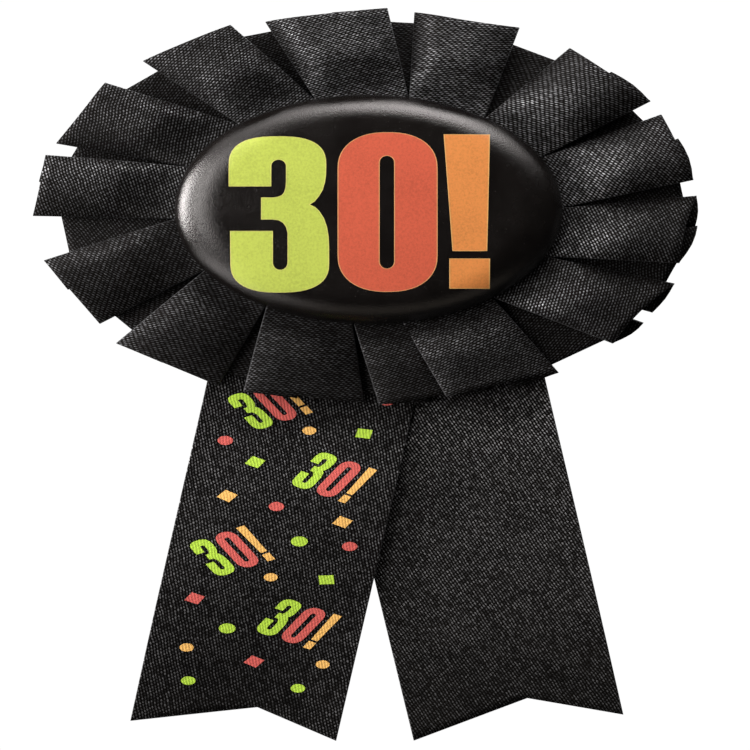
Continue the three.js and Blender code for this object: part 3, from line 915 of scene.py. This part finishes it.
def tail_depth(kind, x, y):
    """Depth of a tail's middle at a point of the face: flat behind the pleats, gently waved below."""
    joint = joints[TAILS[kind]["joint"]]
    flat = -joint["pos_m"][1] / MM
    drop = -y - TAIL_TOP
    if drop < 0:
        return flat
    belly = 2.0 * math.sin(min(1.0, drop / TAIL_DROP) * math.pi) - 0.3 * float(smooth(drop, 40, TAIL_DROP))
    start = float(smooth(drop, 0, 20))
    if kind == "printed":
        wave = 0.7 * math.sin(0.09 * drop + 0.09 * x + 0.4) + 0.3 * math.sin(0.13 * drop - 0.06 * x)
        return flat + belly + start * (wave + 1.0)
    wave = 0.6 * math.sin(0.08 * drop - 0.08 * x + 2.0) + 0.3 * math.sin(0.12 * drop + 0.07 * x)
    return flat + 0.9 * belly + start * (wave - 0.6)


def tail_weave(kind):
    """The ribbon's own coordinates at a point of the face."""
    (tx, ty), (bx, by) = TAILS[kind]["left"]
    along = np.array([(bx - tx) / OVAL, by - ty])
    along = along / np.linalg.norm(along)
    across = np.array([-along[1], along[0]])
    return lambda x, y: ((x - tx / OVAL) * across[0] + (y - ty) * across[1],
                         (x - tx / OVAL) * along[0] + (y - ty) * along[1])


def tail_nap(kind, share, y):
    """Painted light and shade on a tail: darker towards its end, most across the printed tail's middle, and
    lighter at the plain tail's top, against the pleats' shadow.
    """
    painted_end_shade = -0.5 * float(smooth(-y, 70, 115))
    if kind == "printed":
        return painted_end_shade * (1 - 0.9 * (2 * share - 1) ** 2)
    return painted_end_shade + 0.8 * float(1 - smooth(-y, 47, 58))


def build_tail(kind):
    tail = TAILS[kind]
    top_left, bottom_left = (np.array(p) for p in tail["left"])
    top_right, bottom_right = (np.array(p) for p in tail["right"])
    notch = np.array(tail["notch"])
    whole = bottom_right - bottom_left
    notch_share = float(np.dot(notch - bottom_left, whole) / np.dot(whole, whole))
    half = TAIL_COLUMNS // 2
    shares = [0, *np.linspace(SELVEDGE, notch_share, half),
              *np.linspace(notch_share, 1 - SELVEDGE, half)[1:], 1]
    ribbon_at = tail_weave(kind)
    points, uvs, fold, nap = [], [], [], []
    for row in np.linspace(0, 1, TAIL_ROWS):
        for share in shares:
            top = top_left + (top_right - top_left) * share
            if share <= notch_share:
                end = bottom_left + (notch - bottom_left) * (share / notch_share)
            else:
                end = notch + (bottom_right - notch) * ((share - notch_share) / (1 - notch_share))
            x, y = top + (end - top) * row
            x = x / OVAL
            points.append(place(x, y, tail_depth(kind, x, y)))
            uvs.append(ribbon_at(x, y))
            fold.append(1.0 if share in (0.0, 1.0) else 0.0)
            nap.append(tail_nap(kind, share, y))
    ribbon = make_mesh(f"{kind}_tail_ribbon", points, grid_faces(TAIL_ROWS, len(shares)), TAIL_SATINS[kind],
                       uvs, {"fold": fold, "nap": nap})
    return thicken(ribbon, 0.25)


def hang(piece):
    """Bakes the piece's placement into its mesh."""
    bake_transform(piece)


tails = {}
for kind, tail in TAILS.items():
    tails[kind] = build_tail(kind)
    hang(tails[kind])
    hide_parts(*tail["nodes"])

# ---------------------------------------------------------------- print on the front tail
SMALL_HEIGHT = 8.6
SMALL_SHARES = (0.359, 0.145, 0.074)  # of the height: a figure's width, the exclamation mark's, the gap


def group(cx, cy, turn):
    """The small age numerals round a centre, as shapes for each ink."""
    height = SMALL_HEIGHT
    width, bang_width, gap = (share * height for share in SMALL_SHARES)
    left = -(2 * width + bang_width + 2 * gap) / 2

    def put(loops, x):
        shifted = [[(px + x, py - height / 2) for px, py in loop] for loop in loops]
        return moved(shifted, cx, cy, turn)

    wedge, dot = bang(bang_width, height)
    return {
        "green": [put(three(width, height, slot=0.105), left)],
        "red": [put(nought(width, height, slot=0.115), left + width + gap)],
        "orange": [put(part, left + 2 * (width + gap)) for part in (wedge, dot)],
    }


# centres on the face and turns; dots with their radius; squares with their turn
GROUPS = [(-13.3, -43.9, 29), (-18.3, -76.8, 28.5), (-4.75, -60.1, -30), (-9.45, -93.05, -29.6)]
DOTS = {
    "red": [(-19.1, -51.9, 1.03), (-12.25, -66.7, 1.02), (-2.5, -75.7, 1.02), (2.45, -43.0, 1.05)],
    "orange": [(-7.9, -49.7, 0.92), (-13.0, -82.6, 0.92), (-24.2, -98.4, 0.94), (-6.1, -102.3, 0.92)],
    "green": [(-9.2, -74.55, 1.12), (-18.8, -94.1, 1.12), (-24.0, -105.95, 0.97), (-9.4, -107.7, 0.97)],
}
SQUARES = {
    "green": [(-0.6, -50.35, -12), (-15.1, -56.75, -32), (-5.6, -83.2, 3)],
    "orange": [(-18.8, -64.35, -36), (-3.45, -70.2, -32)],
    "red": [(-23.1, -87.3, -30), (-15.25, -101.6, -35)],
}
SQUARE = [(-1.0, -1.0), (1.0, -1.0), (1.0, 1.0), (-1.0, 1.0)]
INK_HEIGHT = 0.2
printed = {ink: [] for ink in INKS}
for x, y, turn in GROUPS:
    for ink, shapes in group(x, y, turn).items():
        printed[ink] += shapes
for ink in printed:
    printed[ink] += [[arc(x, y, radius, radius, 0, 345, 24)] for x, y, radius in DOTS[ink]]
    printed[ink] += [moved([SQUARE], x, y, turn) for x, y, turn in SQUARES[ink]]

for ink, shapes in printed.items():
    piece = decal(
        f"tail_print_{ink}",
        shapes,
        lambda x, y: tail_depth("printed", x, y) + INK_HEIGHT,
        ink_material(f"ink_{ink}", INKS[ink]),
        tail_weave("printed"),
    )
    hang(piece)

# ---------------------------------------------------------------- carried-over pieces
steel = metal_material("nickel_plate", (0.60, 0.59, 0.57), 0.3)
tin = metal_material("tinplate", (0.66, 0.67, 0.68), 0.3)
card = card_material("black_card", (0.012, 0.012, 0.013), (0.05, 0.05, 0.053))
foam = foam_material()
LOOKS = {
    "button_shell": tin,
    "button_back": tin,
    "button_glue_pad": foam,
    "pin_glue_pad": foam,
    "gathering_thread": thread_material(),
    "core_card": card,
    "backing_card": card,
    "left_staple": steel,
    "right_staple": steel,
    "pin_bar": steel,
    "hinge_rivet": steel,
    "pin_needle": steel,
    "catch_sleeve": steel,
}
for name, material in LOOKS.items():
    mesh = nodes[name].data
    mesh.materials.clear()
    mesh.materials.append(material)

# ---------------------------------------------------------------- stage, light and camera
scene = bpy.context.scene
scene.view_settings.view_transform = "Standard"
scene.view_settings.look = "None"


def stage_material():
    n = Nodes("studio_floor")
    grain = n.noise(40, 3.0, 0.5)
    n.set(
        Base_Color=n.mix(grain, (0.9, 0.9, 0.9), (0.94, 0.94, 0.94)),
        Roughness=0.9,
        Specular_IOR_Level=0.1,
        Emission_Color=(1.0, 1.0, 1.0, 1.0),
        Emission_Strength=0.85,
    )
    return n.material


FLOOR_Z = cad_box[0][2] - 0.12
FLOOR_R = 1.2
FLOOR_SIDES = 95
floor_angles = np.linspace(0, 2 * math.pi, FLOOR_SIDES + 1)[:-1]
floor_ring = [(FLOOR_R * math.cos(a), FLOOR_R * math.sin(a), FLOOR_Z) for a in floor_angles]
floor = make_mesh("studio_floor", floor_ring, [tuple(range(FLOOR_SIDES))], stage_material(), flat=True)
floor.visible_diffuse = False
floor.visible_glossy = False

# The world is white to the camera and nearly dark to everything else.
world = bpy.data.worlds.new("studio")
scene.world = world
world.use_nodes = True
tree = world.node_tree
tree.nodes.clear()
backdrop = tree.nodes.new("ShaderNodeBackground")
backdrop.inputs["Color"].default_value = (1, 1, 1, 1)
backdrop.inputs["Strength"].default_value = 1.02
fill_light = tree.nodes.new("ShaderNodeBackground")
fill_light.inputs["Color"].default_value = (0.98, 0.99, 1.0, 1)
fill_light.inputs["Strength"].default_value = 0.02
path = tree.nodes.new("ShaderNodeLightPath")
pick = tree.nodes.new("ShaderNodeMixShader")
end = tree.nodes.new("ShaderNodeOutputWorld")
tree.links.new(path.outputs["Is Camera Ray"], pick.inputs[0])
tree.links.new(fill_light.outputs[0], pick.inputs[1])
tree.links.new(backdrop.outputs[0], pick.inputs[2])
tree.links.new(pick.outputs[0], end.inputs["Surface"])

TARGET = Vector((CENTRE_X, -BUTTON_BASE * MM, CENTRE_Z))


def softbox(name, place_m, size, power, colour):
    """An area light at a place from the button's centre, in metres, that faces it."""
    data = bpy.data.lights.new(name, "AREA")
    data.shape = "RECTANGLE"
    data.size, data.size_y = size
    data.energy = power
    data.color = colour
    lamp = bpy.data.objects.new(name, data)
    scene.collection.objects.link(lamp)
    lamp.location = TARGET + Vector(place_m)
    lamp.rotation_euler = (-Vector(place_m)).to_track_quat("-Z", "Y").to_euler()


WHITE = (1, 1, 1)
WARM = (1.0, 0.945, 0.925)
AMBER = (1.0, 0.86, 0.72)
for settings in (
    ("left", (-0.56, -0.68, 0.15), (0.24, 0.74), 3.8, WARM),
    ("left_core", (-0.88, -0.24, 0.13), (0.40, 0.66), 14.0, WARM),
    ("top", (0.07, -0.20, 0.42), (0.25, 0.29), 0.95, WARM),
    ("overhead", (0.02, -0.10, 0.40), (0.5, 0.35), 1.0, WARM),
    ("upper_right", (0.32, -0.28, 0.55), (0.4, 0.4), 0.8, WARM),
    ("upper_left", (-0.45, -0.22, 0.48), (0.5, 0.4), 0.55, WARM),
    ("lower_left", (-0.42, -0.16, -0.45), (0.6, 0.35), 0.6, WARM),
    ("low_front", (-0.50, -0.34, -0.46), (0.4, 0.3), 0.6, WARM),
    ("below", (0.05, -0.35, -0.65), (0.9, 0.3), 0.2, AMBER),
    ("rear", (0.2, 1.0, 0.5), (1.5, 1.2), 17.0, WHITE),
):
    softbox(*settings)

FRAME_WIDTH = 168.4 * MM
LENS = 200.0
SENSOR = 36.0
FOCUS_DEPTH = 7.0 * MM
CAMERA_RIGHT = 1.46 * MM  # the picture's middle, from the button's
CAMERA_DOWN = 37.15 * MM
camera_data = bpy.data.cameras.new("camera")
camera_data.lens = LENS
camera_data.sensor_width = SENSOR
camera = bpy.data.objects.new("camera", camera_data)
scene.collection.objects.link(camera)
distance = FRAME_WIDTH * LENS / SENSOR
camera.location = (CENTRE_X + CAMERA_RIGHT, -distance - FOCUS_DEPTH, CENTRE_Z - CAMERA_DOWN)
camera.rotation_euler = (math.pi / 2, 0, 0)
scene.camera = camera
